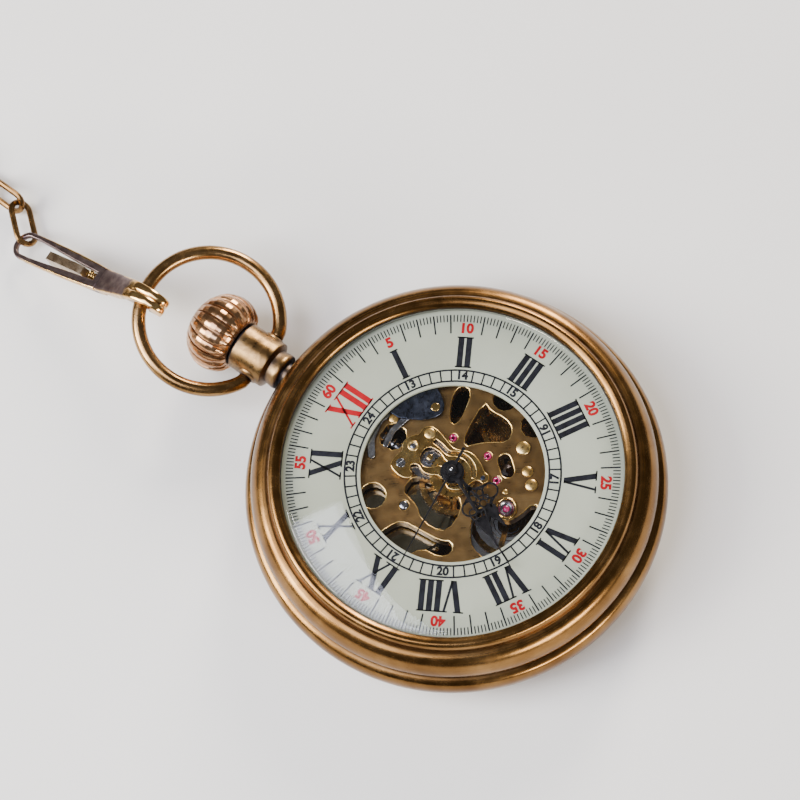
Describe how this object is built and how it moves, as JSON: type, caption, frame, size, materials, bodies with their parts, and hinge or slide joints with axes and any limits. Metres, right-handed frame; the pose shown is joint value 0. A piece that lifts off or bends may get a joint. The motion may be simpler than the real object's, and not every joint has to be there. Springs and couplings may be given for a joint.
{
  "type": "pocket watch",
  "caption": "Open-face pocket watch with a ringed case, skeleton movement in the dial's centre, onion crown, wire bow, snap clip and guard chain.",
  "frame": {"origin": "middle of the case back's flat resting face", "axes": "+Z out of the dial, +Y towards 12 o'clock and the crown, +X towards 3 o'clock"},
  "size_m": [0.0575, 0.129, 0.0127],
  "materials": {
    "aged_brass": "antiqued, worn and waxed",
    "rose_bronze": "polished rose bronze flutes",
    "dark_bronze": "dark bronze with worn gold edges",
    "plate_bronze": "brushed gilt bronze",
    "gold": "polished gilt",
    "steel": "polished steel",
    "blued_steel": "dark blue-grey satin steel",
    "black": "black lacquer",
    "dial": "matte greyish cream enamel",
    "glass": "clear mineral glass",
    "ruby": "polished synthetic ruby",
    "grey_plastic": "dark grey moulded"
  },
  "bodies": {
    "case": {"case_middle": "aged_brass", "bezel": "aged_brass", "crystal": "glass", "case_back": "aged_brass", "back_glass": "glass", "movement_ring": "grey_plastic", "dial": "dial", "pendant": "aged_brass", "main_plate": "plate_bronze", "third_jewel": "ruby", "escape_jewel": "ruby", "pallet_jewel": "ruby", "balance_jewel": "ruby", "barrel_bridge": "plate_bronze", "train_bridge": "plate_bronze", "balance_cock": "plate_bronze", "pallet_bridge": "plate_bronze", "minute_wheel_bridge": "gold", "bridge_post_1": "steel", "bridge_post_2": "steel", "bridge_post_3": "steel", "keyless_cover": "blued_steel", "cover_screw": "gold", "hairspring": "steel"},
    "centre_arbor": {"centre_wheel": "gold", "cannon_pinion": "steel", "minute_hand": "black"},
    "spring_barrel": {"barrel": "gold", "mainspring": "steel"},
    "third_wheel": {"third_wheel": "gold"},
    "fourth_wheel": {"fourth_wheel": "gold", "seconds_hand": "black"},
    "escape_wheel": {"escape_wheel": "steel"},
    "pallet_fork": {"pallet_fork": "steel"},
    "balance": {"balance_wheel": "gold"},
    "minute_wheel": {"minute_wheel": "gold"},
    "hour_wheel": {"hour_wheel": "gold", "hour_hand": "black"},
    "winding_pinion": {"winding_pinion": "steel"},
    "crown_and_stem": {"crown": "rose_bronze", "winding_stem": "steel"},
    "sliding_pinion": {"sliding_pinion": "steel"},
    "setting_lever": {"setting_lever": "steel"},
    "yoke": {"yoke": "steel"},
    "crown_wheel": {"crown_wheel": "steel"},
    "ratchet": {"ratchet_wheel": "steel", "barrel_arbor": "steel", "ratchet_screw": "steel"},
    "click": {"click": "steel"},
    "bow": {"bow": "aged_brass"},
    "clip": {"clip_hook": "dark_bronze", "clip_loop": "dark_bronze", "clip_pin": "dark_bronze"},
    "clip_lever": {"clip_lever": "dark_bronze"},
    "chain_link_1": {"chain_link_1": "aged_brass"},
    "chain_link_2": {"chain_link_2": "aged_brass"},
    "chain": {"chain_run": "aged_brass", "chain_coil": "aged_brass", "chain_tail": "aged_brass", "chain_bar": "aged_brass"}
  },
  "joints": [
    {"name": "centre_wheel_turn", "type": "hinge", "parent": "case", "child": "centre_arbor", "pos_m": [0, 0, 0.0067], "axis": [0, 0, -1], "continuous": true},
    {"name": "barrel_turn", "type": "hinge", "parent": "case", "child": "spring_barrel", "pos_m": [-0.0056, 0.0025, 0.0057], "axis": [0, 0, -1], "continuous": true},
    {"name": "third_wheel_turn", "type": "hinge", "parent": "case", "child": "third_wheel", "pos_m": [0.0035, 0.0025, 0.0041], "axis": [0, 0, -1], "continuous": true},
    {"name": "seconds_turn", "type": "hinge", "parent": "case", "child": "fourth_wheel", "pos_m": [0, 0, 0.0034], "axis": [0, 0, -1], "continuous": true},
    {"name": "escape_wheel_turn", "type": "hinge", "parent": "case", "child": "escape_wheel", "pos_m": [0.0039, -0.00175, 0.00585], "axis": [0, 0, -1], "continuous": true},
    {"name": "pallet_fork_rock", "type": "hinge", "parent": "case", "child": "pallet_fork", "pos_m": [0.0022, -0.0041, 0.0058], "axis": [0, 0, -1], "range_deg": [-5, 5]},
    {"name": "balance_swing", "type": "hinge", "parent": "case", "child": "balance", "pos_m": [0.0002, -0.00675, 0.0045], "axis": [0, 0, -1], "range_deg": [-135, 135], "stiffness_Nm_per_rad": 0.0000003},
    {"name": "minute_wheel_turn", "type": "hinge", "parent": "case", "child": "minute_wheel", "pos_m": [0.0002, 0.00315, 0.00875], "axis": [0, 0, -1], "continuous": true},
    {"name": "hour_turn", "type": "hinge", "parent": "case", "child": "hour_wheel", "pos_m": [0, 0, 0.0091], "axis": [0, 0, -1], "continuous": true},
    {"name": "crown_turn", "type": "hinge", "parent": "case", "child": "winding_pinion", "pos_m": [0, 0.0096, 0.0052], "axis": [0, 1, 0], "continuous": true},
    {"name": "crown_pull", "type": "slide", "parent": "winding_pinion", "child": "crown_and_stem", "axis": [0, 1, 0], "range_m": [0, 0.0008]},
    {"name": "clutch_shift", "type": "slide", "parent": "winding_pinion", "child": "sliding_pinion", "axis": [0, -1, 0], "range_m": [0, 0.0006]},
    {"name": "setting_lever_rock", "type": "hinge", "parent": "case", "child": "setting_lever", "pos_m": [-0.003, 0.0086, 0.0088], "axis": [0, 0, 1], "range_deg": [0, 12]},
    {"name": "yoke_rock", "type": "hinge", "parent": "case", "child": "yoke", "pos_m": [0.0036, 0.0074, 0.0088], "axis": [0, 0, 1], "range_deg": [0, 8]},
    {"name": "crown_wheel_turn", "type": "hinge", "parent": "case", "child": "crown_wheel", "pos_m": [0, 0.0081, 0.00225], "axis": [0, 0, 1], "continuous": true},
    {"name": "ratchet_turn", "type": "hinge", "parent": "case", "child": "ratchet", "pos_m": [-0.0056, 0.0025, 0.00225], "axis": [0, 0, 1], "continuous": true},
    {"name": "click_rock", "type": "hinge", "parent": "case", "child": "click", "pos_m": [-0.00982, -0.00162, 0.00225], "axis": [0, 0, -1], "range_deg": [0, 10], "stiffness_Nm_per_rad": 0.00001},
    {"name": "bow_swing", "type": "hinge", "parent": "case", "child": "bow", "pos_m": [0, 0.0262, 0.0052], "axis": [1, 0, 0], "range_deg": [-100, 80]},
    {"name": "clip_swing", "type": "hinge", "parent": "bow", "child": "clip", "pos_m": [-0.00226, 0.04036, 0.00782], "axis": [0.9563, 0.2875, 0.0533], "range_deg": [-45, 45]},
    {"name": "clip_lever_press", "type": "hinge", "parent": "clip", "child": "clip_lever", "pos_m": [-0.00281, 0.0483, 0.00392], "axis": [0.9977, 0.0684, 0], "range_deg": [0, 12], "stiffness_Nm_per_rad": 0.001},
    {"name": "link_1_swing", "type": "hinge", "parent": "clip", "child": "chain_link_1", "pos_m": [-0.0034, 0.05699, 0.002], "axis": [-0.0226, 0.3294, 0.9439], "range_deg": [-10, 40]},
    {"name": "link_2_swing", "type": "hinge", "parent": "chain_link_1", "child": "chain_link_2", "pos_m": [0.0001, 0.06105, 0.0016], "axis": [-0.6032, 0.507, 0.6157], "range_deg": [-14, 14]},
    {"name": "chain_swing", "type": "hinge", "parent": "chain_link_2", "child": "chain", "pos_m": [0.00025, 0.06495, 0.0016], "axis": [0, 0, 1], "range_deg": [-12, 12]}
  ],
  "couplings": [
    {"joint": "barrel_turn", "follows": "centre_wheel_turn", "ratio": -0.16667},
    {"joint": "third_wheel_turn", "follows": "centre_wheel_turn", "ratio": -8},
    {"joint": "seconds_turn", "follows": "centre_wheel_turn", "ratio": 60},
    {"joint": "escape_wheel_turn", "follows": "centre_wheel_turn", "ratio": -600},
    {"joint": "minute_wheel_turn", "follows": "centre_wheel_turn", "ratio": -0.33333},
    {"joint": "hour_turn", "follows": "centre_wheel_turn", "ratio": 0.083333},
    {"joint": "crown_wheel_turn", "follows": "crown_turn", "ratio": 0.9375},
    {"joint": "ratchet_turn", "follows": "crown_turn", "ratio": -0.64145},
    {"joint": "clutch_shift", "follows": "crown_pull", "ratio": 0.75},
    {"joint": "setting_lever_rock", "follows": "crown_pull", "rad_per_m": 259.62},
    {"joint": "yoke_rock", "follows": "crown_pull", "rad_per_m": 172.35}
  ]
}
